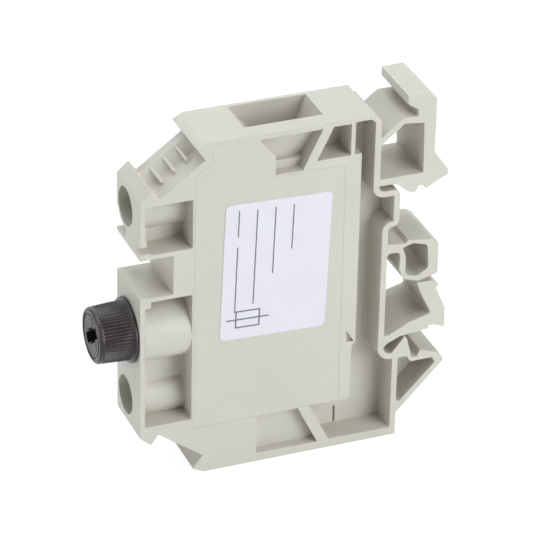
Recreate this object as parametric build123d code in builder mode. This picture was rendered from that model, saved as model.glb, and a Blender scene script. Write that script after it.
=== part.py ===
"""Fuse terminal block for a 35 mm rail.

The rail runs along Y. X points from the front face to the rail, Z points up.
The origin is the middle of the rail seat, on the front plane of the rail flange.
All sizes are in millimetres.
"""

import os
from math import cos, radians, sin

from build123d import *

# Moulded body
width = 12.0
body_height = 66.8
front_depth = 52.0
wall = 1.2
inner_wall = 1.65
web = 1.6
top_wall = 1.2
bottom_wall = 1.7
deck_left = -39.9
deck_right = -9.05
deck_chamfer = 1.5

# Front face, screw tubes and fuse barrel
front_wall = 0.95
front_edge_z = 23.8
notch_top_z = 12.25
notch_bottom_z = 4.6
notch_depth = 6.15
window_depth = 9.65
screw_y = 1.6
upper_screw_z = 19.25
lower_screw_z = -18.92
fuse_z = -4.55
tube_radius = 4.3
bore_radius = 3.6
barrel_bore_radius = 4.05
upper_window_z = (13.1, 22.6)
far_cut_top_z = 17.4
lower_window_z = (-21.8, 3.75)
stop_right = -49.95
stop_foot_z = 13.5
stop_top_z = 14.9
stop_notch = 2.2
stop_drop = 1.2

# Marker channels in the two front shoulders
channel_length = 10.44
channel_angle = 36.4
channel_drop = 3.5
channel_inset = 0.2
upper_lip = 3.07
lower_lip = 2.4
ramp_height = 2.0
ramp_foot_y = -1.3
ramp_crest_y = 0.9
ramp_back_y = 1.8
fin_near_y = -3.1
fin_near_height = 0.75
fin_corner = 0.3
fin_thickness = 0.5
fin_first = 2.2
fin_pitch = 2.85
fin_count = 3

# Lid seat in the near face
cover_thickness = 1.2
cover_play = 0.03
cover_left = -41.9
cover_right = -14.05
cover_bottom = -23.8
cover_top = 32.2
cover_step_z = 24.4
cover_corner_z = 27.0
cover_notch_x = -38.9
cover_notch_z = 29.2
rim_right = -11.1
rim_right_low = -11.8
rim_step_z = -12.0
rim_top = 26.1

# Ribs and pockets beside the wire funnels
rib_thickness = 1.9
rib_top_x = -18.6
rib_bottom_x = -22.0
post_left = -13.2
post_right = -12.4
low_rib_top_x = -21.9
low_rib_bottom_x = -17.9
low_rib_thickness = 2.15
low_pocket_depth = 2.0
low_pocket_left = -29.8
slit_width = 0.35
slit_height = 3.3
slit_x = -12.8
mark_left = -12.9
mark_right = -11.4
mark_bottom = -11.9
mark_top = -9.6
mark_depth = 0.8

# Recess beside the upper funnel
recess_left = -29.95
recess_neck_x = -27.2
recess_shoulder_z = 31.6
recess_neck_z = 28.5
recess_corner = 0.5
recess_ledge_z = 24.75
recess_top_depth = 2.0
recess_ledge_depth = 3.5
recess_step_z = 26.3
recess_step_depth = 2.2

# Wire funnels
mouth_left = -32.15
mouth_right = -17.4
mouth_near_y = -3.0
mouth_far_y = 5.2
neck_rise = 5.0
neck_left = -27.9
neck_right = -19.2
neck_near_y = -2.2
neck_far_y = 5.0
throat_near_y = -0.9
throat_far_y = 4.6

# Rail foot
rail_height = 35.0
rail_steel = 1.0
rail_play = 0.3
spine_wall = 1.15
spine_low_x = -3.18
spine_arm_z = -16.6
spine_long_x = -6.08
spine_elbow_z = 10.7
spine_link_x = -4.03
spine_turn_z = 17.1
spine_box_x = -8.1
hook_foot_z = 18.85
hook_top_z = 36.05
hook_nose_x = 5.6
hollow_left = -7.45
hollow_foot_z = 20.2
hollow_shoulder_z = 26.95
foot_reach = 6.35

# Clamps
chamber_gap = 0.3
fuse_chamber_rise = 7.15
fuse_chamber_drop = 6.05
head_gap = 0.2
head_radius = 3.3
head_thickness = 2.2
head_slot_width = 0.9
head_slot_depth = 1.2
screw_radius = 2.0
screw_length = 9.8
screw_play = 0.05
pad_play = 0.15
clamp_play = 0.1
clamp_travel = 5.6
cage_nut_thickness = 2.0
cage_wall = 0.9
cage_back = 1.3
cage_inner_half = 2.7
cage_height = 7.0
cage_corner = 0.8
screw_point = 0.4
wire_space = 6.8

# Current bars and contacts
bar_thickness = 1.3
bar_half_width = 2.5
bar_bend = 1.2
seat_play = 0.05
shell_outer_radius = 4.0
shell_wall = 0.6
shell_length = 11.0
shell_play = 0.08
ring_radius = 4.65
leaf_thickness = 0.4
leaf_half_width = 2.4
rivet_radius = 1.0
rivet_head_radius = 1.3
rivet_head = 0.8
rivet_z = -8.5
leaf_tail = 2.0
leaf_bend = 0.6

# Fuse link, 5 x 20
fuse_length = 20.0
fuse_stand_out = 2.4
fuse_cap_radius = 2.6
fuse_cap_length = 5.0
fuse_cap_wall = 0.2
glass_radius = 2.4
glass_wall = 0.6
fuse_wire_radius = 0.15

# Screw cap with its sleeve and spring
cap_flange_radius = 6.0
cap_flange = 0.7
cap_length = 6.85
cap_rear_radius = 5.4
cap_front_radius = 5.1
cap_seat_gap = 0.1
cap_edge = 0.6
flange_edge = 0.25
cap_face_wall = 3.35
cap_ridges = 54
ridge_depth = 0.25
band_rear = 0.15
band_front = 0.9
sleeve_length = 11.6
sleeve_play = 0.08
finger_slit = 0.8
finger_length = 5.0
spring_wire_radius = 0.15
spring_radius = 1.8
spring_turns = 2
slot_length = 7.0
slot_cross_length = 3.6
slot_width = 1.4
slot_depth = 2.0
slot_turn = 149.0
face_ring_radius = 4.2
face_ring_width = 0.35
face_ring_depth = 0.2

# Label
label_width = 19.9
label_height = 27.0
label_thickness = 0.1
label_x = -26.8
label_z = 6.5
label_tilt = 1.8
label_corner = 1.0

half_width = width / 2
half_height = body_height / 2
front_x = -front_depth
pocket_depth = (width - web) / 2
window_right = front_x + window_depth
chamber_left = window_right + inner_wall
grip_half = (rail_height + rail_play) / 2

screw_head_x = chamber_left + head_gap
screw_neck_x = screw_head_x + head_thickness
screw_tip_x = screw_neck_x + screw_length
bar_front_x = screw_tip_x + screw_play
bar_back_x = bar_front_x + bar_thickness
cage_front_x = screw_neck_x + chamber_gap + clamp_travel
cage_back_x = bar_back_x + wire_space
chamber_right = cage_back_x + cage_back + chamber_gap
cage_half_y = cage_inner_half + cage_wall
chamber_half_y = half_width - cover_thickness
chamber_half_z = cage_height / 2 + 0.25
clamp_near_y = screw_y - cage_half_y - clamp_play
clamp_far_y = screw_y + cage_half_y + clamp_play

fuse_front_x = front_x - fuse_stand_out
fuse_rear_x = fuse_front_x + fuse_length
fuse_chamber_top = fuse_z + fuse_chamber_rise
fuse_chamber_bottom = fuse_z - fuse_chamber_drop
fuse_chamber_right = bar_back_x + rivet_head + chamber_gap
sleeve_outer_radius = shell_outer_radius - shell_wall - shell_play
sleeve_inner_radius = fuse_cap_radius + sleeve_play
cap_seat_x = front_x - cap_seat_gap
cap_flange_x = cap_seat_x - cap_flange
cap_front_x = cap_seat_x - cap_length
cap_grip_length = cap_length - cap_flange - band_rear - band_front
sleeve_front_x = cap_front_x + cap_face_wall
shell_rear_x = chamber_left + bar_thickness
bar_middle_x = (bar_front_x + bar_back_x) / 2
strip_z = fuse_chamber_top - chamber_gap - bar_thickness / 2
lower_bar_top = fuse_z + 1.9
leaf_base_x = bar_front_x - leaf_thickness / 2
leaf_contact_x = fuse_rear_x + leaf_thickness / 2

near = Plane.XZ.offset(half_width)
far = Plane.XZ.offset(-half_width)
lid_floor = Plane.XZ.offset(half_width - cover_thickness)
clamp_plane = Plane.XZ.offset(-screw_y)
fuse_axis = Axis((0, 0, fuse_z), (1, 0, 0))


def outline(*corners, mode=Mode.ADD):
    """Face from corners (x, z) or (x, z, corner radius) in the open sketch."""
    points = [corner[:2] for corner in corners]
    radii = [corner[2] if len(corner) > 2 else 0 for corner in corners]
    with BuildLine() as edge:
        FilletPolyline(*points, radius=radii, close=True)
    make_face(edge.line, mode=mode)


def block(left, right, bottom, top, mode=Mode.ADD):
    """Rectangle by its four sides in the open sketch."""
    with Locations(((left + right) / 2, (bottom + top) / 2)):
        Rectangle(right - left, top - bottom, mode=mode)


def spine(bottom, top):
    """Centre line of the wall that carries the foot, from bottom to top."""
    return FilletPolyline(
        (spine_low_x, bottom),
        (spine_low_x, spine_arm_z),
        (spine_long_x, spine_arm_z),
        (spine_long_x, spine_elbow_z),
        (spine_link_x, spine_elbow_z + 0.15),
        (spine_link_x, spine_turn_z),
        (spine_box_x, spine_turn_z),
        (spine_box_x, top),
        radius=[0, 2.0, 1.3, 0.7, 0.7, 1.6],
    )


def shoulder(side):
    """Corners of one front shoulder with its marker channel, from deck to front face."""
    slope = radians(channel_angle)
    start = Vector(deck_left - channel_inset, half_height - channel_drop)
    end = start - Vector(cos(slope), sin(slope)) * channel_length
    out = Vector(-sin(slope), cos(slope))
    corners = [
        Vector(deck_left, half_height),
        start + out * upper_lip,
        start,
        end,
        end + out * lower_lip,
        Vector(front_x, front_edge_z),
    ]
    return [(corner.X, corner.Y * side) for corner in corners]


def channel_section(side, distance):
    """Cross plane of a marker channel: X along the width, Y out of the channel floor."""
    slope = radians(channel_angle)
    down = Vector(-cos(slope), 0, -side * sin(slope))
    start = Vector(deck_left - channel_inset, 0, side * (half_height - channel_drop))
    return Plane(origin=start + down * distance, x_dir=(0, 1, 0), z_dir=down * -side)


def lid_outline():
    """Outline of the lid seat, stepped round the funnel recess, in the open sketch."""
    outline(
        (cover_left, cover_bottom),
        (cover_left, cover_corner_z),
        (cover_notch_x, cover_notch_z),
        (cover_notch_x, cover_top),
        (recess_left, cover_top),
        (recess_left, recess_shoulder_z),
        (recess_neck_x, recess_neck_z, recess_corner),
        (recess_neck_x, cover_step_z),
        (cover_right, cover_step_z),
        (cover_right, cover_bottom),
    )


def funnel_levels(side):
    """Sections of a wire funnel, mouth first: height, then its four sides."""
    screw_height = upper_screw_z if side > 0 else -lower_screw_z
    return [
        (half_height, mouth_left, mouth_right, mouth_near_y, mouth_far_y),
        (half_height - neck_rise, neck_left, neck_right, neck_near_y, neck_far_y),
        (screw_height + chamber_half_z, bar_back_x, cage_back_x, throat_near_y, throat_far_y),
    ]


# Recess beside the upper funnel, down to the funnel wall, which slopes inwards to a step
with BuildPart() as funnel_recess:
    recess_top_z = half_height - top_wall
    with BuildSketch(near):
        outline(
            (recess_left, recess_top_z),
            (recess_left, recess_shoulder_z),
            (recess_neck_x, recess_neck_z, recess_corner),
            (recess_neck_x, recess_ledge_z),
            (rib_bottom_x, recess_ledge_z),
            (rib_top_x, recess_top_z),
        )
    extrude(amount=-recess_ledge_depth)
    with BuildSketch(Plane.YZ):
        outline(
            (-half_width, recess_ledge_z),
            (recess_step_depth - half_width, recess_ledge_z),
            (recess_step_depth - half_width, recess_step_z),
            (recess_ledge_depth - half_width, recess_step_z),
            (recess_top_depth - half_width, recess_top_z),
            (-half_width, recess_top_z),
        )
    extrude(amount=front_depth, both=True, mode=Mode.INTERSECT)

with BuildPart() as housing:
    # Full-width body, from the front outline to the spine wall
    with BuildSketch(Plane.XZ):
        with BuildLine():
            wall_line = spine(-half_height, half_height - deck_chamfer)
            Polyline(
                wall_line @ 1,
                (deck_right, half_height),
                *shoulder(1),
                (front_x, notch_top_z),
                (front_x + notch_depth, notch_top_z),
                (front_x + notch_depth, notch_bottom_z),
                (front_x, notch_bottom_z),
                *reversed(shoulder(-1)),
                wall_line @ 0,
            )
        make_face()
    extrude(amount=half_width, both=True)

    # Pockets open to each side face: front windows, foot channel and top triangle
    for face, depth in ((near, -pocket_depth), (far, pocket_depth)):
        with BuildSketch(face):
            block(front_x + front_wall, window_right, *upper_window_z)
            block(front_x + front_wall, window_right, *lower_window_z)
            outline(
                (post_left, half_height - top_wall),
                (post_left, rim_top),
                (rib_bottom_x + rib_thickness + 0.6, rim_top),
                (rib_top_x + rib_thickness + 0.2, half_height - top_wall),
            )
            with BuildLine():
                edge = spine(-half_height + bottom_wall, half_height - deck_chamfer - 0.6)
                Polyline(
                    edge @ 1,
                    (deck_right - 0.45, half_height - top_wall + 0.2),
                    (post_right, half_height - top_wall + 0.2),
                    (post_right, rim_top),
                    (rim_right, rim_top),
                    (rim_right, rim_step_z),
                    (rim_right_low, rim_step_z - 0.7),
                    (rim_right_low, cover_bottom),
                    (low_rib_top_x + low_rib_thickness, cover_bottom),
                    (low_rib_bottom_x + low_rib_thickness, -half_height + bottom_wall),
                    edge @ 0,
                )
            make_face()
        extrude(amount=depth, mode=Mode.SUBTRACT)

    # Shallow pocket beside the lower funnel, and the small mark in the rim
    with BuildSketch(near):
        outline(
            (low_pocket_left, -half_height + bottom_wall),
            (low_pocket_left, cover_bottom),
            (low_rib_top_x, cover_bottom),
            (low_rib_bottom_x, -half_height + bottom_wall),
        )
    extrude(amount=-low_pocket_depth, mode=Mode.SUBTRACT)
    with BuildSketch(near):
        outline((mark_left, mark_top), (mark_left, mark_bottom), (mark_right, mark_bottom))
    extrude(amount=-mark_depth, mode=Mode.SUBTRACT)
    with BuildSketch(Plane.XZ):
        slit_foot = bottom_wall - half_height
        block(slit_x, slit_x + slit_width, slit_foot, slit_foot + slit_height)
    extrude(amount=web, both=True, mode=Mode.SUBTRACT)

    # Foot profile: hook, ring, lower block, and wedge, all full width
    with BuildSketch(Plane.XZ):
        with BuildLine() as spine_path:
            spine(-half_height, half_height - deck_chamfer)
        trace(line_width=spine_wall)
        # hook with its lip, nose and upper rail notch
        outline(
            (spine_box_x, hook_foot_z),
            (-4.3, hook_foot_z, 0.5),
            (-1.8, 16.75, 0.2),
            (-0.6, 16.55, 0.2),
            (-0.05, grip_half),
            (rail_steel + 0.05, grip_half),
            (1.4, 16.9, 0.2),
            (hook_nose_x, 19.1, 0.3),
            (hook_nose_x, 20.0, 0.3),
            (2.8, 23.95),
            (2.85, 34.5),
            (1.4, hook_top_z),
            (-2.7, hook_top_z - 0.15),
            (-2.65, 34.2),
            (-0.65, 32.8),
            (-0.65, 31.6),
            (-3.35, 31.6, 0.3),
            (spine_box_x, 27.95),
        )
        # closed ring hung from the spine
        outline(
            (spine_long_x, 6.9),
            (-3.1, 6.4, 0.4),
            (-2.15, 6.35, 0.1),
            (-1.45, 7.0, 0.2),
            (3.1, 6.25, 0.6),
            (4.4, 5.45, 0.5),
            (4.5, -0.8, 0.5),
            (0.7, -1.85, 1.0),
            (-2.2, -0.9, 1.2),
            (-3.1, 1.2, 0.8),
            (-3.0, 4.82, 0.8),
            (-5.0, 4.82),
            (spine_long_x, 4.0),
        )
        # lower block on its slanting arm
        outline(
            (0.5, -2.1),
            (3.6, -2.3, 0.3),
            (4.95, -3.4, 0.2),
            (4.3, -3.85),
            (6.25, -8.4, 0.4),
            (foot_reach, -12.45, 0.3),
            (4.5, -11.65, 0.3),
            (3.25, -11.55),
            (3.1, -12.2, 0.3),
            (-2.3, -12.7),
            (-4.75, -13.75),
            (spine_long_x, -15.0),
            (spine_long_x, -12.15),
            (-4.7, -12.15, 0.5),
            (-0.6, -10.1),
            (3.5, -9.0, 0.6),
            (1.15, -4.05),
        )
        # tooth, lower rail groove and wedge
        outline(
            (-4.6, -16.05),
            (-3.9, -16.0, 0.4),
            (-1.5, -13.0, 0.15),
            (-0.9, -13.6),
            (0.1, -grip_half),
            (rail_steel + 0.15, -grip_half),
            (1.75, -16.45, 0.3),
            (5.7, -17.95, 0.5),
            (foot_reach + 0.1, -19.4, 0.5),
            (-2.6, -28.9),
            (spine_low_x, -28.9),
            (spine_low_x, spine_arm_z),
        )
        # hollows of the hook and the ring
        outline(
            (hollow_left, hollow_shoulder_z),
            (-3.15, 30.5),
            (0.55, 30.05),
            (0.75, hollow_foot_z),
            (hollow_left, hollow_foot_z, 0.3),
            mode=Mode.SUBTRACT,
        )
        outline(
            (-2.5, 5.55, 0.2),
            (-0.55, 6.15, 0.5),
            (2.25, 5.35, 0.8),
            (2.6, 0.6, 1.0),
            (0.35, -0.75, 1.2),
            (-1.8, -0.1, 0.9),
            (-1.87, 3.6, 0.5),
            mode=Mode.SUBTRACT,
        )
    extrude(amount=half_width, both=True)
    # the hollow of the wedge keeps a web in the middle
    for face, depth in ((near, -pocket_depth), (far, pocket_depth)):
        with BuildSketch(face):
            outline(
                (-2.6, -17.25),
                (-0.9, -17.25),
                (-0.1, -18.5),
                (4.2, -18.5, 0.3),
                (4.7, -19.6, 0.3),
                (-2.15, -26.7, 0.4),
                (-2.6, -26.2),
            )
        extrude(amount=depth, mode=Mode.SUBTRACT)

    # Two stops behind the front wall on the near side, the upper one with a notch
    with BuildSketch(Plane.XZ):
        block(front_x, stop_right, upper_window_z[0], stop_top_z)
        block(front_x, stop_right, lower_window_z[1] - stop_drop, lower_window_z[1])
    extrude(amount=half_width)
    with BuildSketch(near):
        block(front_x, stop_right, stop_foot_z, stop_top_z)
    extrude(amount=-stop_notch, mode=Mode.SUBTRACT)

    # On the far side the front wall is open below the upper screw tube
    with BuildSketch(far):
        block(front_x, front_x + front_wall, upper_window_z[0], far_cut_top_z)
    extrude(amount=half_width - screw_y, mode=Mode.SUBTRACT)

    # Screw tubes and the fuse barrel stand in the windows
    for centre, radius in (
        ((screw_y, upper_screw_z), tube_radius),
        ((screw_y, lower_screw_z), tube_radius),
        ((0, fuse_z), half_width),
    ):
        with BuildSketch(Plane.YZ.offset(front_x)):
            with Locations(centre):
                Circle(radius)
        extrude(amount=window_depth)

    # Lid seat in the near face
    with BuildSketch(near):
        lid_outline()
    extrude(amount=-cover_thickness, mode=Mode.SUBTRACT)

    # Clamp chambers, fuse chamber and bar passage under the lid, with cored cells between
    chambers = [
        (chamber_left, chamber_right, upper_screw_z - chamber_half_z, upper_screw_z + chamber_half_z),
        (chamber_left, chamber_right, lower_screw_z - chamber_half_z, lower_screw_z + chamber_half_z),
        (chamber_left, fuse_chamber_right, fuse_chamber_bottom, fuse_chamber_top),
        (bar_front_x - chamber_gap, bar_back_x + chamber_gap, lower_screw_z, upper_screw_z),
    ]
    with BuildSketch(lid_floor):
        block(chamber_left, cover_right - wall, cover_bottom + wall, upper_screw_z + chamber_half_z)
        for left, right, bottom, top in chambers:
            grown = (left - wall, right + wall, bottom - wall, top + wall)
            block(*grown, mode=Mode.SUBTRACT)
        for sides in chambers:
            block(*sides)
    extrude(amount=-2 * chamber_half_y, mode=Mode.SUBTRACT)
    # the clamp chambers reach further towards the far side, round their screws
    with BuildSketch(lid_floor):
        for sides in chambers[:2]:
            block(*sides)
    extrude(amount=-(chamber_half_y + clamp_far_y), mode=Mode.SUBTRACT)

    # Bores through the tubes and the barrel into the chambers
    for centre, radius in (
        ((screw_y, upper_screw_z), bore_radius),
        ((screw_y, lower_screw_z), bore_radius),
        ((0, fuse_z), barrel_bore_radius),
    ):
        with BuildSketch(Plane.YZ.offset(front_x)):
            with Locations(centre):
                Circle(radius)
        extrude(amount=chamber_left - front_x, mode=Mode.SUBTRACT)

    # Wire funnels at the top and at the bottom, each in two tapered stages
    for side in (1, -1):
        levels = funnel_levels(side)
        for stage in zip(levels, levels[1:]):
            for level, *sides in stage:
                with BuildSketch(Plane.XY.offset(side * level)):
                    block(*sides)
            loft(mode=Mode.SUBTRACT)

    add(funnel_recess.part, mode=Mode.SUBTRACT)

    # Marker channels: a ramp along the floor with fins on its slope
    for side in (1, -1):
        with BuildSketch(channel_section(side, 0)):
            outline(
                (ramp_foot_y, 0),
                (ramp_crest_y, ramp_height),
                (ramp_back_y, ramp_height),
                (ramp_back_y, 0),
            )
        extrude(amount=-side * channel_length)
        for fin in range(fin_count):
            with BuildSketch(channel_section(side, fin_first + fin * fin_pitch)):
                outline(
                    (fin_near_y, 0),
                    (fin_near_y, fin_near_height, fin_corner),
                    (ramp_crest_y, ramp_height),
                    (ramp_back_y, 0),
                )
            extrude(amount=-side * fin_thickness)
housing.part.label = "housing"


with BuildPart() as side_cover:
    with BuildSketch(near):
        lid_outline()
        offset(amount=-cover_play, kind=Kind.INTERSECTION, mode=Mode.REPLACE)
    extrude(amount=-cover_thickness)
    # pads on the inside that keep the clamps in line with their screws
    with BuildSketch(lid_floor):
        for clamp_z in (upper_screw_z, lower_screw_z):
            half_pad = chamber_half_z - pad_play
            left, right = chamber_left + pad_play, chamber_right - pad_play
            block(left, right, clamp_z - half_pad, clamp_z + half_pad)
    extrude(amount=-(chamber_half_y + clamp_near_y))
side_cover.part.label = "side_cover"

with BuildPart() as rating_label:
    with BuildSketch(near):
        with Locations(Location((label_x, label_z), -label_tilt)):
            RectangleRounded(label_width, label_height, label_corner)
    extrude(amount=label_thickness)
rating_label.part.label = "rating_label"

# One V groove of the cap's grip, turned about the fuse axis into all of them
with BuildPart() as grip_groove:
    start = Vector(cap_flange_x - band_rear, 0, fuse_z + cap_rear_radius)
    along = Vector(-cap_grip_length, 0, cap_front_radius - cap_rear_radius)
    with BuildSketch(Plane(origin=start, x_dir=(0, 1, 0), z_dir=along)):
        Rectangle(ridge_depth * 1.4, ridge_depth * 1.4, rotation=45)
    extrude(amount=cap_grip_length)

with BuildPart() as fuse_cap:
    with BuildSketch(Plane.XZ):
        outline(
            (cap_seat_x, fuse_z + sleeve_outer_radius),
            (cap_seat_x, fuse_z + cap_flange_radius, flange_edge),
            (cap_flange_x, fuse_z + cap_flange_radius, flange_edge),
            (cap_flange_x, fuse_z + cap_rear_radius),
            (cap_front_x, fuse_z + cap_front_radius, cap_edge),
            (cap_front_x, fuse_z),
            (sleeve_front_x, fuse_z),
            (sleeve_front_x, fuse_z + sleeve_outer_radius),
        )
    revolve(axis=fuse_axis)
    add(
        [
            grip_groove.part.rotate(fuse_axis, 360 / cap_ridges * ridge)
            for ridge in range(cap_ridges)
        ],
        mode=Mode.SUBTRACT,
    )
    # screwdriver recess with a long and a short arm, inside a shallow ring
    with BuildSketch(Plane.YZ.offset(cap_front_x)):
        with Locations(Location((0, fuse_z), slot_turn)):
            Rectangle(slot_length, slot_width)
            Rectangle(slot_width, slot_cross_length)
    extrude(amount=slot_depth, mode=Mode.SUBTRACT)
    with BuildSketch(Plane.YZ.offset(cap_front_x)):
        with Locations((0, fuse_z)):
            Circle(face_ring_radius)
            Circle(face_ring_radius - face_ring_width, mode=Mode.SUBTRACT)
    extrude(amount=face_ring_depth, mode=Mode.SUBTRACT)
fuse_cap.part.label = "fuse_cap"

with BuildPart() as carrier_sleeve:
    with BuildSketch(Plane.YZ.offset(sleeve_front_x)):
        with Locations((0, fuse_z)):
            Circle(sleeve_outer_radius)
            Circle(sleeve_inner_radius, mode=Mode.SUBTRACT)
    extrude(amount=sleeve_length)
    # two crossed slits make the gripping fingers at the open end
    with BuildSketch(Plane.YZ.offset(sleeve_front_x + sleeve_length)):
        with Locations((0, fuse_z)):
            Rectangle(4 * sleeve_outer_radius, finger_slit)
            Rectangle(finger_slit, 4 * sleeve_outer_radius)
    extrude(amount=-finger_length, mode=Mode.SUBTRACT)
carrier_sleeve.part.label = "carrier_sleeve"

with BuildPart() as carrier_spring:
    spring_height = fuse_front_x - sleeve_front_x - 2 * spring_wire_radius
    spring_start = (sleeve_front_x + spring_wire_radius, 0, fuse_z)
    with BuildLine() as coil:
        Helix(
            pitch=spring_height / spring_turns,
            height=spring_height,
            radius=spring_radius,
            center=spring_start,
            direction=(1, 0, 0),
        )
    with BuildSketch(coil.line ^ 0):
        Circle(spring_wire_radius)
    sweep()
carrier_spring.part.label = "carrier_spring"

with BuildPart() as fuse_glass_tube:
    with BuildSketch(Plane.YZ.offset(fuse_front_x + fuse_cap_wall)):
        with Locations((0, fuse_z)):
            Circle(glass_radius)
            Circle(glass_radius - glass_wall, mode=Mode.SUBTRACT)
    extrude(amount=fuse_length - 2 * fuse_cap_wall)
fuse_glass_tube.part.label = "fuse_glass_tube"

with BuildPart() as fuse_wire:
    with BuildSketch(Plane.YZ.offset(fuse_front_x + fuse_cap_wall)):
        with Locations((0, fuse_z)):
            Circle(fuse_wire_radius)
    extrude(amount=fuse_length - 2 * fuse_cap_wall)
fuse_wire.part.label = "fuse_wire"


def fuse_end(end_x, inward):
    """Metal end cap of the fuse; inward is 1 for the front end and -1 for the rear end."""
    with BuildPart() as end_cap:
        with BuildSketch(Plane.YZ.offset(end_x)):
            with Locations((0, fuse_z)):
                Circle(fuse_cap_radius)
        extrude(amount=inward * fuse_cap_length)
        with BuildSketch(Plane.YZ.offset(end_x + inward * fuse_cap_wall)):
            with Locations((0, fuse_z)):
                Circle(glass_radius)
        extrude(amount=inward * fuse_cap_length, mode=Mode.SUBTRACT)
    return end_cap


fuse_front_cap = fuse_end(fuse_front_x, 1)
fuse_front_cap.part.label = "fuse_front_cap"
fuse_rear_cap = fuse_end(fuse_rear_x, -1)
fuse_rear_cap.part.label = "fuse_rear_cap"

with BuildPart() as contact_shell:
    with BuildSketch(Plane.YZ.offset(shell_rear_x)):
        with Locations((0, fuse_z)):
            Circle(shell_outer_radius)
            Circle(shell_outer_radius - shell_wall, mode=Mode.SUBTRACT)
    extrude(amount=-shell_length)
contact_shell.part.label = "contact_shell"

with BuildPart() as upper_current_bar:
    with BuildSketch(clamp_plane):
        with BuildLine():
            FilletPolyline(
                (bar_middle_x, upper_screw_z + cage_height / 2),
                (bar_middle_x, strip_z),
                (shell_rear_x - bar_thickness / 2, strip_z),
                (shell_rear_x - bar_thickness / 2, fuse_z),
                radius=bar_bend,
            )
        trace(line_width=bar_thickness)
    extrude(amount=bar_half_width, both=True)
    # ring round the end of the contact shell
    with BuildSketch(Plane.YZ.offset(shell_rear_x)):
        with Locations((0, fuse_z)):
            Circle(ring_radius)
    extrude(amount=-bar_thickness)
    with BuildSketch(Plane.YZ.offset(shell_rear_x)):
        with Locations((0, fuse_z)):
            Circle(shell_outer_radius + seat_play)
    extrude(amount=-bar_thickness, mode=Mode.SUBTRACT)
upper_current_bar.part.label = "upper_current_bar"

with BuildPart() as lower_current_bar:
    with BuildSketch(Plane.YZ.offset(bar_front_x)):
        bar_far_y = screw_y + bar_half_width
        block(screw_y - bar_half_width, bar_far_y, lower_screw_z - cage_height / 2, lower_bar_top)
        block(-leaf_half_width, bar_far_y, rivet_z - leaf_tail, lower_bar_top)
    extrude(amount=bar_thickness)
    with BuildSketch(Plane.YZ.offset(bar_front_x)):
        with Locations((0, rivet_z)):
            Circle(rivet_radius + seat_play)
    extrude(amount=bar_thickness, mode=Mode.SUBTRACT)
lower_current_bar.part.label = "lower_current_bar"

with BuildPart() as rear_contact_leaf:
    with BuildSketch(Plane.XZ):
        with BuildLine():
            FilletPolyline(
                (leaf_base_x, rivet_z - leaf_tail),
                (leaf_base_x, rivet_z + leaf_tail),
                (leaf_contact_x, fuse_z - leaf_tail),
                (leaf_contact_x, fuse_z + leaf_tail),
                radius=leaf_bend,
            )
        trace(line_width=leaf_thickness)
    extrude(amount=leaf_half_width, both=True)
    with BuildSketch(Plane.YZ.offset(bar_front_x)):
        with Locations((0, rivet_z)):
            Circle(rivet_radius + seat_play)
    extrude(amount=-leaf_thickness, mode=Mode.SUBTRACT)
rear_contact_leaf.part.label = "rear_contact_leaf"

with BuildPart() as rear_contact_rivet:
    with BuildSketch(Plane.XZ):
        outline(
            (bar_front_x - leaf_thickness - rivet_head, rivet_z),
            (bar_front_x - leaf_thickness - rivet_head, rivet_z + rivet_head_radius, 0.5),
            (bar_front_x - leaf_thickness, rivet_z + rivet_head_radius),
            (bar_front_x - leaf_thickness, rivet_z + rivet_radius),
            (bar_back_x, rivet_z + rivet_radius),
            (bar_back_x, rivet_z + rivet_head_radius),
            (bar_back_x + rivet_head, rivet_z + rivet_head_radius, 0.5),
            (bar_back_x + rivet_head, rivet_z),
        )
    revolve(axis=Axis((0, 0, rivet_z), (1, 0, 0)))
rear_contact_rivet.part.label = "rear_contact_rivet"


def clamp_cage(screw_z):
    """Steel ring round the bar end: threaded wall in front, clamping wall at the back."""
    with BuildPart() as cage:
        with BuildSketch(Plane.XY.offset(screw_z - cage_height / 2)):
            back_x = cage_back_x + cage_back
            block(cage_front_x, back_x, screw_y - cage_half_y, screw_y + cage_half_y)
            fillet(vertices(), cage_corner)
            block(
                cage_front_x + cage_nut_thickness,
                cage_back_x,
                screw_y - cage_inner_half,
                screw_y + cage_inner_half,
                mode=Mode.SUBTRACT,
            )
        extrude(amount=cage_height)
        with BuildSketch(Plane.YZ.offset(cage_front_x)):
            with Locations((screw_y, screw_z)):
                Circle(screw_radius + screw_play)
        extrude(amount=cage_nut_thickness, mode=Mode.SUBTRACT)
    return cage


def clamp_screw(screw_z):
    """Slotted clamp screw with its axis along X."""
    with BuildPart() as screw:
        with BuildSketch(clamp_plane):
            outline(
                (screw_head_x, screw_z),
                (screw_head_x, screw_z + head_radius, 0.3),
                (screw_neck_x, screw_z + head_radius),
                (screw_neck_x, screw_z + screw_radius),
                (screw_tip_x - screw_point, screw_z + screw_radius),
                (screw_tip_x, screw_z + screw_radius - screw_point),
                (screw_tip_x, screw_z),
            )
        revolve(axis=Axis((0, screw_y, screw_z), (1, 0, 0)))
        with BuildSketch(Plane.YZ.offset(screw_head_x)):
            with Locations((screw_y, screw_z)):
                Rectangle(3 * head_radius, head_slot_width)
        extrude(amount=head_slot_depth, mode=Mode.SUBTRACT)
    return screw


upper_clamp_cage = clamp_cage(upper_screw_z)
upper_clamp_cage.part.label = "upper_clamp_cage"
lower_clamp_cage = clamp_cage(lower_screw_z)
lower_clamp_cage.part.label = "lower_clamp_cage"
upper_clamp_screw = clamp_screw(upper_screw_z)
upper_clamp_screw.part.label = "upper_clamp_screw"
lower_clamp_screw = clamp_screw(lower_screw_z)
lower_clamp_screw.part.label = "lower_clamp_screw"

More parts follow.
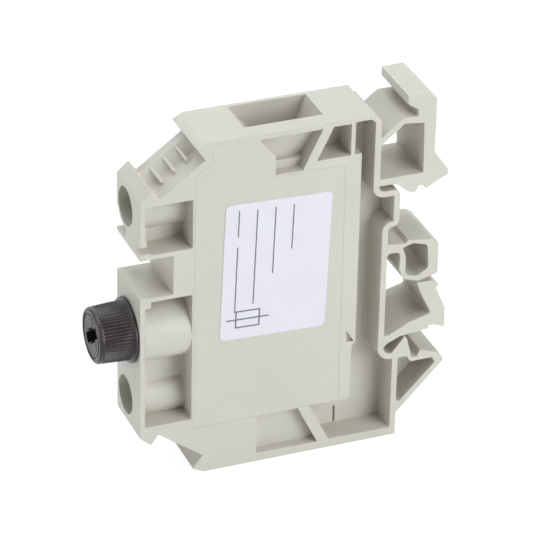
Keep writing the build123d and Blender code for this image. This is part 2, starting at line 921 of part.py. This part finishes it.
os.makedirs("parts", exist_ok=True)
for piece in (
    housing,
    side_cover,
    rating_label,
    fuse_cap,
    carrier_sleeve,
    carrier_spring,
    fuse_glass_tube,
    fuse_front_cap,
    fuse_rear_cap,
    fuse_wire,
    contact_shell,
    rear_contact_leaf,
    rear_contact_rivet,
    upper_current_bar,
    lower_current_bar,
    upper_clamp_cage,
    lower_clamp_cage,
    upper_clamp_screw,
    lower_clamp_screw,
):
    export_step(piece.part, f"parts/{piece.part.label}.step")
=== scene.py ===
"""Looks of the fuse terminal block: finishes, soft edges, camera, light and floor.

Everything is in metres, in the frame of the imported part: X towards the rail, Y along it, Z up.
"""

from math import copysign, radians

import bmesh
import bpy
from mathutils import Euler, Matrix, Vector
from mathutils.bvhtree import BVHTree


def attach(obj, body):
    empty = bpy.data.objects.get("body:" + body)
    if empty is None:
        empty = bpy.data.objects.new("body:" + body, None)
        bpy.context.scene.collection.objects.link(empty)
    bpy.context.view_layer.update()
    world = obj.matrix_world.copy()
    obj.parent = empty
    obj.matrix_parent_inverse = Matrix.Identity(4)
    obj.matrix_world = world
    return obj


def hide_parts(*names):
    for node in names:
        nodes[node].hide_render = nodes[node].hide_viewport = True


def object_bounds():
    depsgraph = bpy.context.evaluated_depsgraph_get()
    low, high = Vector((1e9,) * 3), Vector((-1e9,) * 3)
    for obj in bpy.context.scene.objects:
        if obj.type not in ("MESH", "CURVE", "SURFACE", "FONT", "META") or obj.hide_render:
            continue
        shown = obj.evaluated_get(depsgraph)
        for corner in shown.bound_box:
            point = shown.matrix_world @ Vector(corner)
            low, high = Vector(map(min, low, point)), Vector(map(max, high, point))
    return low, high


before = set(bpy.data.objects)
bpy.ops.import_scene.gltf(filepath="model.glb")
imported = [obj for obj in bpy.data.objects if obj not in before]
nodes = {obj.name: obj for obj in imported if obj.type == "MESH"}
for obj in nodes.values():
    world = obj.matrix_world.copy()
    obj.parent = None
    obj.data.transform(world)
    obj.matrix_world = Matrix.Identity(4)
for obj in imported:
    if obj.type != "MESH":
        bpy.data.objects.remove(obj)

MM = 0.001
cad_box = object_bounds()
scene = bpy.context.scene

# Camera as fitted to the photograph: metres, degrees, and millimetres for lens and sensor
CAMERA_PLACE = (-0.23269, -0.50848, 0.31905)
CAMERA_ELEVATION = 30.06
CAMERA_HEADING = -22.27
CAMERA_ROLL = 1.31
CAMERA_LENS = 234.5
CAMERA_SENSOR = 36.0
CAMERA_SEES = (0.01, 20.0)

# Soft boxes: name, degrees round to the right of the near side, degrees up, and watts
LAMPS = (
    ("overhead_box", 0, 88, 3.2),
    ("right_box", 35, 30, 4.4),
    ("low_right_box", 25, 5, 3.9),
    ("left_box", -90, 8, 3.2),
    ("high_left_box", -110, 60, 2.0),
    ("back_box", 180, 35, 1.5),
    ("high_back_box", 150, 60, 1.1),
)
LAMP_COLOUR = (0.972, 1.0, 1.003)
LAMP_SIZE = 0.6
LAMP_DISTANCE = 0.9

# Surroundings as a light, and the floor's half side, its own glow and the glow's share where seen
WORLD_LIGHT = 0.04
FLOOR_REACH = 3.0
FLOOR_GLOW = 1.1
FLOOR_GLOW_SHARE = 0.85

# Height of the fuse axis, a plane just behind the front face of the cap, and radians per
# millimetre of the fine rings on that face
FUSE_Z = -4.55 * MM
CAP_FACE = -58.85 * MM
RING_WAVES = 7.0

# Driver slot of the cap: its turn in degrees in the part and as seen, and its shift in millimetres
SLOT_TURN = 149
SLOT_TURN_SEEN = 143.5
SLOT_SHIFT = Vector((0, -0.3, 0.24))
# Millimetres from its middle to its corners, along and across, in the part and as seen
SLOT_CORNERS = (
    ((3.5, 0.7), (3.15, 0.95)),
    ((0.7, 0.7), (1.3, 0.95)),
    ((0.7, 1.8), (1.3, 1.4)),
)

# The cap's flange lies between these planes, and its edges are round in the solid already
FLANGE_FRONT = -52.85 * MM
FLANGE_REAR = -52.05 * MM

# Outer and inner plane of the lid
LID_FACE = -6.0 * MM
LID_FLOOR = -4.8 * MM

# Size of the rounded edges
HOUSING_EDGE = 0.09 * MM
LID_EDGE = 0.015 * MM
CAP_EDGE = 0.04 * MM
# Share of that size past which a corner has strayed from the solid
STRAY_SHARE = 0.6

# Corners this close are one corner, and triangles this level are one face
JOINED_WITHIN = 0.001 * MM
LEVEL_WITHIN = radians(0.4)
# Edges this sharp are rounded, and those this sharp afterwards stay sharp in the shading
ROUNDED_FROM = radians(32)
SHADED_SHARP_FROM = radians(40)

# Middle and turn of the label in the plane of the lid, in millimetres and degrees
LABEL_CENTRE = (-26.8, 6.5)
LABEL_TILT = 1.8
# Its print: middle across and along, and half its size across and along, in millimetres
LABEL_PRINT = {
    "first_rule": (-7.4, -1.6, 0.12, 6.6),
    "first_rule_end": (-7.4, 9.6, 0.12, 2.6),
    "second_rule": (-4.0, 2.6, 0.12, 9.4),
    "third_rule": (-0.6, 5.4, 0.12, 6.6),
    "fourth_rule": (2.8, 7.6, 0.12, 4.4),
    "symbol_top": (-4.9, -8.0, 2.2, 0.14),
    "symbol_bottom": (-4.9, -11.2, 2.2, 0.14),
    "symbol_left": (-7.1, -9.6, 0.14, 1.74),
    "symbol_right": (-2.7, -9.6, 0.14, 1.74),
    "symbol_lead": (-4.9, -9.6, 4.0, 0.14),
}

# How much longer than broad the fine lines of a metal are, along X, Y and Z
ROUND = (1.0, 1.0, 1.0)
ALONG_X = (12.0, 1.0, 1.0)
ALONG_Z = (1.0, 1.0, 12.0)

# Places of the colour sockets among the Mix node's sockets, several of which share a name
MIX_AMOUNT, MIX_FIRST, MIX_SECOND, MIX_RESULT = 0, 6, 7, 2


class Finish:
    """A material whose patterns read the piece's own coordinates."""

    def __init__(self, name, **sockets):
        self.material = bpy.data.materials.new(name)
        self.material.use_nodes = True
        self.tree = self.material.node_tree
        self.shader = self.tree.nodes["Principled BSDF"]
        for socket, value in sockets.items():
            self.shader.inputs[socket.replace("_", " ")].default_value = value
        self.place = self.node("TexCoord").outputs["Object"]

    def node(self, kind, *feeds, **settings):
        """New node with its settings; feeds are values or outputs for its sockets in order."""
        made = self.tree.nodes.new("ShaderNode" + kind)
        for setting, value in settings.items():
            setattr(made, setting, value)
        for socket, feed in zip(made.inputs, feeds):
            self.feed(socket, feed)
        return made

    def feed(self, socket, value):
        """Sets a socket from a number, a colour or another node's output."""
        if isinstance(value, bpy.types.NodeSocket):
            self.tree.links.new(value, socket)
        elif value is not None:
            socket.default_value = value

    def grain(self, size, detail=2.0, stretch=ROUND):
        """Noise whose lumps are about size millimetres, drawn out by stretch."""
        scale = tuple(1 / (size * MM * along) for along in stretch)
        place = self.node("Mapping", self.place, None, None, scale).outputs[0]
        return self.node("TexNoise", place, None, 1.0, detail).outputs[0]

    def between(self, value, low, high, start=0.3, end=0.7):
        """Turns a noise value into a number from low to high."""
        return self.node("MapRange", value, start, end, low, high).outputs[0]

    def blend(self, amount, first, second):
        """Colour between two colours."""
        mix = self.node("Mix", data_type="RGBA")
        for socket, value in ((MIX_AMOUNT, amount), (MIX_FIRST, first), (MIX_SECOND, second)):
            self.feed(mix.inputs[socket], value)
        return mix.outputs[MIX_RESULT]

    def math(self, operation, *values):
        """One step of arithmetic."""
        return self.node("Math", *values, operation=operation).outputs[0]

    def colour(self, value):
        self.feed(self.shader.inputs["Base Color"], value)

    def roughness(self, value):
        self.feed(self.shader.inputs["Roughness"], value)

    def relief(self, *heights):
        """Stacks bumps, each a height value with its depth in millimetres."""
        normal = None
        for height, depth in heights:
            bump = self.node("Bump")
            bump.inputs["Distance"].default_value = depth * MM
            self.feed(bump.inputs["Height"], height)
            self.feed(bump.inputs["Normal"], normal)
            normal = bump.outputs[0]
        self.feed(self.shader.inputs["Normal"], normal)


def face_rings(finish):
    """Height of the fine rings round the fuse axis on the front of the cap."""
    centred = finish.node("Mapping", finish.place, (0, 0, -FUSE_Z), None, (0, 1, 1)).outputs[0]
    from_axis = finish.node("VectorMath", centred, operation="LENGTH").outputs["Value"]
    waves = finish.math("SINE", finish.math("MULTIPLY", from_axis, RING_WAVES / MM))
    along = finish.node("SeparateXYZ", finish.place).outputs[0]
    return finish.math("MULTIPLY", waves, finish.math("LESS_THAN", along, CAP_FACE))


def moulded(name, light, dark, smooth, matt, grain, depth, rings=None, **sockets):
    """Moulded plastic: cloudy colour, uneven gloss, fine eroded grain and faint flow lines.

    Grain and depths are in millimetres; rings is the depth of the rings on the cap's face.
    """
    finish = Finish(name, **sockets)
    clouds = finish.between(finish.grain(size=14.0, detail=3.0), low=0.0, high=1.0)
    finish.colour(finish.blend(clouds, light, dark))
    finish.roughness(finish.between(finish.grain(size=2.2, detail=3.0), smooth, matt))
    flow = finish.grain(size=0.9, stretch=(14.0, 1.0, 1.0))
    layers = [(finish.grain(grain, detail=3.0), depth), (flow, depth * 0.8)]
    if rings:
        layers.append((face_rings(finish), rings))
    finish.relief(*layers)
    return finish.material


def plated(name, light, dark, smooth, matt, drawn):
    """Plated or drawn metal: slightly uneven tint, cloudy gloss and fine lines along drawn."""
    finish = Finish(name, Metallic=1.0)
    tint = finish.between(finish.grain(size=3.0, detail=3.0), low=0.0, high=1.0)
    finish.colour(finish.blend(tint, light, dark))
    lines = finish.grain(size=0.12, stretch=drawn)
    finish.roughness(finish.between(lines, smooth, matt))
    finish.relief((lines, 0.004), (finish.grain(size=0.7), 0.003))
    return finish.material


def clear_glass():
    """Thin clear tube with a faint draw line."""
    finish = Finish("clear_glass", Transmission_Weight=1.0, IOR=1.47)
    tint = finish.grain(size=6.0)
    finish.colour(finish.blend(tint, (0.96, 0.98, 0.97, 1), (0.92, 0.96, 0.95, 1)))
    finish.roughness(finish.between(finish.grain(size=2.0), low=0.01, high=0.05))
    finish.relief((finish.grain(size=1.5, detail=1.0, stretch=(8.0, 1.0, 1.0)), 0.002))
    return finish.material


def printed_film():
    """White label film with plain rules and the general symbol of a fuse."""
    finish = Finish("printed_film")
    own = finish.node("Mapping", finish.place, vector_type="TEXTURE")
    own.inputs["Location"].default_value = (LABEL_CENTRE[0] * MM, 0, LABEL_CENTRE[1] * MM)
    own.inputs["Rotation"].default_value = (0, radians(LABEL_TILT), 0)
    own.inputs["Scale"].default_value = (MM, MM, MM)
    across, _, along = finish.node("SeparateXYZ", own.outputs[0]).outputs
    ink = 0.0
    for centre_across, centre_along, half_across, half_along in LABEL_PRINT.values():
        in_breadth = finish.math("COMPARE", across, centre_across, half_across)
        in_length = finish.math("COMPARE", along, centre_along, half_along)
        ink = finish.math("MAXIMUM", ink, finish.math("MULTIPLY", in_breadth, in_length))
    clouds = finish.between(finish.grain(size=5.0, detail=3.0), low=0.0, high=1.0)
    film = finish.blend(clouds, (0.704, 0.691, 0.754, 1), (0.683, 0.671, 0.733, 1))
    wear = finish.grain(size=0.4, detail=3.0)
    worn_ink = finish.blend(wear, (0.10, 0.10, 0.11, 1), (0.20, 0.20, 0.21, 1))
    finish.colour(finish.blend(ink, film, worn_ink))
    finish.roughness(finish.between(finish.grain(size=1.2, detail=3.0), low=0.38, high=0.5))
    finish.relief((finish.grain(size=0.5), 0.003), (ink, 0.006))
    return finish.material


housing_grey = moulded(
    "housing_grey",
    light=(0.574, 0.554, 0.494, 1),
    dark=(0.545, 0.526, 0.469, 1),
    smooth=0.42,
    matt=0.56,
    grain=0.16,
    depth=0.008,
)
cap_black = moulded(
    "cap_black",
    light=(0.032, 0.023, 0.023, 1),
    dark=(0.020, 0.014, 0.014, 1),
    smooth=0.24,
    matt=0.36,
    grain=0.14,
    depth=0.006,
    rings=0.12,
    Specular_IOR_Level=0.42,
)
tin = plated(
    "bright_tin",
    light=(0.74, 0.73, 0.70, 1),
    dark=(0.66, 0.65, 0.62, 1),
    smooth=0.24,
    matt=0.4,
    drawn=ALONG_Z,
)
zinc = plated(
    "zinc_plate",
    light=(0.46, 0.47, 0.47, 1),
    dark=(0.36, 0.38, 0.39, 1),
    smooth=0.34,
    matt=0.52,
    drawn=ROUND,
)
nickel = plated(
    "nickel_plate",
    light=(0.70, 0.67, 0.61, 1),
    dark=(0.62, 0.59, 0.54, 1),
    smooth=0.16,
    matt=0.3,
    drawn=ALONG_X,
)
bronze = plated(
    "spring_bronze",
    light=(0.66, 0.44, 0.24, 1),
    dark=(0.58, 0.37, 0.20, 1),
    smooth=0.25,
    matt=0.4,
    drawn=ALONG_Z,
)
copper = plated(
    "drawn_copper",
    light=(0.72, 0.45, 0.30, 1),
    dark=(0.62, 0.37, 0.24, 1),
    smooth=0.25,
    matt=0.4,
    drawn=ALONG_X,
)
spring_steel = plated(
    "spring_steel",
    light=(0.50, 0.50, 0.51, 1),
    dark=(0.42, 0.42, 0.44, 1),
    smooth=0.22,
    matt=0.36,
    drawn=ROUND,
)

finishes = {
    "rating_label": printed_film(),
    "carrier_sleeve": tin,
    "carrier_spring": spring_steel,
    "fuse_glass_tube": clear_glass(),
    "fuse_front_cap": nickel,
    "fuse_rear_cap": nickel,
    "fuse_wire": copper,
    "contact_shell": tin,
    "rear_contact_leaf": bronze,
    "rear_contact_rivet": copper,
    "upper_current_bar": tin,
    "lower_current_bar": tin,
    "upper_clamp_cage": zinc,
    "lower_clamp_cage": zinc,
    "upper_clamp_screw": zinc,
    "lower_clamp_screw": zinc,
}
for name, material in finishes.items():
    nodes[name].data.materials.clear()
    nodes[name].data.materials.append(material)


def off_near_face(point, near=0.001 * MM):
    """Whether a point lies outside the plane of the near face and the lid."""
    return abs(point.y - LID_FACE) > near


def beside_lid(edge, near=0.02 * MM):
    """Whether an edge of the housing's near face is the rim of the lid's seat."""
    if any(off_near_face(end.co, near) for end in edge.verts):
        return False
    return any(abs(v.co.y - LID_FLOOR) < near for face in edge.link_faces for v in face.verts)


def on_flange(edge):
    """Whether an edge belongs to the flange of the cap."""
    return any(FLANGE_FRONT < end.co.x < FLANGE_REAR for end in edge.verts)


def is_rounded(edge):
    """Whether an edge of the solid gets a rounding."""
    if not edge.is_manifold or edge.calc_face_angle() <= ROUNDED_FROM:
        return False
    return not beside_lid(edge) and not on_flange(edge)


def reshape_slot(shape, near=0.02):
    """Gives the driver slot of the cap the broad arms and the turn it shows in the photograph."""
    into_slot = Matrix.Rotation(radians(-SLOT_TURN), 3, "X")
    out_of_slot = Matrix.Rotation(radians(SLOT_TURN_SEEN), 3, "X")
    axis_point = Vector((0, 0, FUSE_Z))
    for vert in shape.verts:
        place = into_slot @ (vert.co - axis_point) / MM
        for (along, across), (seen_along, seen_across) in SLOT_CORNERS:
            if abs(abs(place.y) - along) < near and abs(abs(place.z) - across) < near:
                place.y = copysign(seen_along, place.y)
                place.z = copysign(seen_across, place.z)
                vert.co = out_of_slot @ (place * MM) + axis_point + SLOT_SHIFT * MM
                break


def soft_copy(node, body, material, edge, change=None):
    """Copy of a CAD node with its triangles joined and its sharp edges rounded by edge."""
    shape = bmesh.new()
    shape.from_mesh(nodes[node].data)
    bmesh.ops.remove_doubles(shape, verts=shape.verts, dist=JOINED_WITHIN)
    bmesh.ops.dissolve_limit(
        shape, angle_limit=LEVEL_WITHIN, verts=shape.verts, edges=shape.edges
    )
    if change:
        change(shape)
    solid = BVHTree.FromBMesh(shape)
    bmesh.ops.bevel(
        shape,
        geom=[e for e in shape.edges if is_rounded(e)],
        offset=edge,
        segments=2,
        profile=0.5,
        affect="EDGES",
        clamp_overlap=False,
        material=-1,
    )
    # where small faces meet, a rounded corner can leave the solid: it is set back on it
    for vert in shape.verts:
        nearest, _, _, distance = solid.find_nearest(vert.co)
        if distance > STRAY_SHARE * edge:
            vert.co = nearest
    bmesh.ops.triangulate(shape, faces=[f for f in shape.faces if len(f.verts) > 4])
    mesh = bpy.data.meshes.new("soft_" + node)
    shape.to_mesh(mesh)
    shape.free()
    # the near face and the lid shade flat, so that the seam between them stays a fine line
    mesh.set_sharp_from_angle(angle=SHADED_SHARP_FROM)
    for face in mesh.polygons:
        face.use_smooth = any(off_near_face(mesh.vertices[corner].co) for corner in face.vertices)
    mesh.materials.clear()
    mesh.materials.append(material)
    piece = bpy.data.objects.new("soft_" + node, mesh)
    scene.collection.objects.link(piece)
    # large faces keep their own normals, so that only the rounded edges shade smoothly
    flatten = piece.modifiers.new("flat_faces", "WEIGHTED_NORMAL")
    flatten.keep_sharp = True
    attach(piece, body)
    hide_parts(node)


soft_copy("housing", "block", housing_grey, HOUSING_EDGE)
soft_copy("side_cover", "block", housing_grey, LID_EDGE)
soft_copy("fuse_cap", "screw_cap", cap_black, CAP_EDGE, reshape_slot)

# Camera
camera_data = bpy.data.cameras.new("camera")
camera_data.lens = CAMERA_LENS
camera_data.sensor_width = CAMERA_SENSOR
camera_data.clip_start, camera_data.clip_end = CAMERA_SEES
camera = bpy.data.objects.new("camera", camera_data)
aim = Euler((radians(90 - CAMERA_ELEVATION), 0, radians(CAMERA_HEADING))).to_matrix()
roll = Matrix.Rotation(radians(CAMERA_ROLL), 3, "Z")
camera.matrix_world = Matrix.LocRotScale(Vector(CAMERA_PLACE), (aim @ roll).to_quaternion(), None)
scene.collection.objects.link(camera)
bpy.context.scene.camera = camera
scene.view_settings.view_transform = "Standard"

for name, around, height, power in LAMPS:
    lamp = bpy.data.lights.new(name, "AREA")
    lamp.size = LAMP_SIZE
    lamp.energy = power
    lamp.color = LAMP_COLOUR
    towards = Euler((radians(-height), 0, radians(around))).to_matrix() @ Vector((0, -1, 0))
    soft_box = bpy.data.objects.new(name, lamp)
    soft_box.location = towards * LAMP_DISTANCE
    soft_box.rotation_mode = "QUATERNION"
    soft_box.rotation_quaternion = towards.to_track_quat("Z", "Y")
    scene.collection.objects.link(soft_box)


def seen_directly(tree):
    """1 for camera, glossy and transmission rays, and 0 for the rest."""
    path = tree.nodes.new("ShaderNodeLightPath")
    total = path.outputs["Is Camera Ray"]
    for ray in ("Is Glossy Ray", "Is Transmission Ray"):
        either = tree.nodes.new("ShaderNodeMath")
        either.operation = "MAXIMUM"
        tree.links.new(total, either.inputs[0])
        tree.links.new(path.outputs[ray], either.inputs[1])
        total = either.outputs[0]
    return total


# Even white surroundings: full white where they are seen, softer as a light
world = bpy.data.worlds.new("surroundings")
world.use_nodes = True
tree = world.node_tree
background = tree.nodes["Background"]
background.inputs["Color"].default_value = (1, 1, 1, 1)
strength = tree.nodes.new("ShaderNodeMapRange")
strength.inputs["To Min"].default_value = WORLD_LIGHT
strength.inputs["To Max"].default_value = 1.0
tree.links.new(seen_directly(tree), strength.inputs["Value"])
tree.links.new(strength.outputs[0], background.inputs["Strength"])
scene.world = world

# Floor under the block, white to the eye with only a faint shadow
pale_floor = Finish("pale_floor")
clouds = pale_floor.grain(size=40.0)
pale_floor.colour(pale_floor.blend(clouds, (0.90, 0.90, 0.90, 1), (0.88, 0.88, 0.88, 1)))
pale_floor.roughness(pale_floor.between(pale_floor.grain(size=6.0), low=0.8, high=0.95))
glow = pale_floor.node("Emission", (1, 1, 1, 1), FLOOR_GLOW).outputs[0]
share = pale_floor.math("MULTIPLY", seen_directly(pale_floor.tree), FLOOR_GLOW_SHARE)
mixed = pale_floor.node("MixShader", share, pale_floor.shader.outputs[0], glow).outputs[0]
pale_floor.feed(pale_floor.tree.nodes["Material Output"].inputs["Surface"], mixed)

floor_shape = bmesh.new()
bmesh.ops.create_grid(floor_shape, x_segments=8, y_segments=8, size=FLOOR_REACH)
bmesh.ops.translate(floor_shape, verts=floor_shape.verts, vec=(0, 0, cad_box[0].z))
floor_mesh = bpy.data.meshes.new("floor")
floor_shape.to_mesh(floor_mesh)
floor_shape.free()
floor_mesh.materials.append(pale_floor.material)
floor = bpy.data.objects.new("floor", floor_mesh)
scene.collection.objects.link(floor)
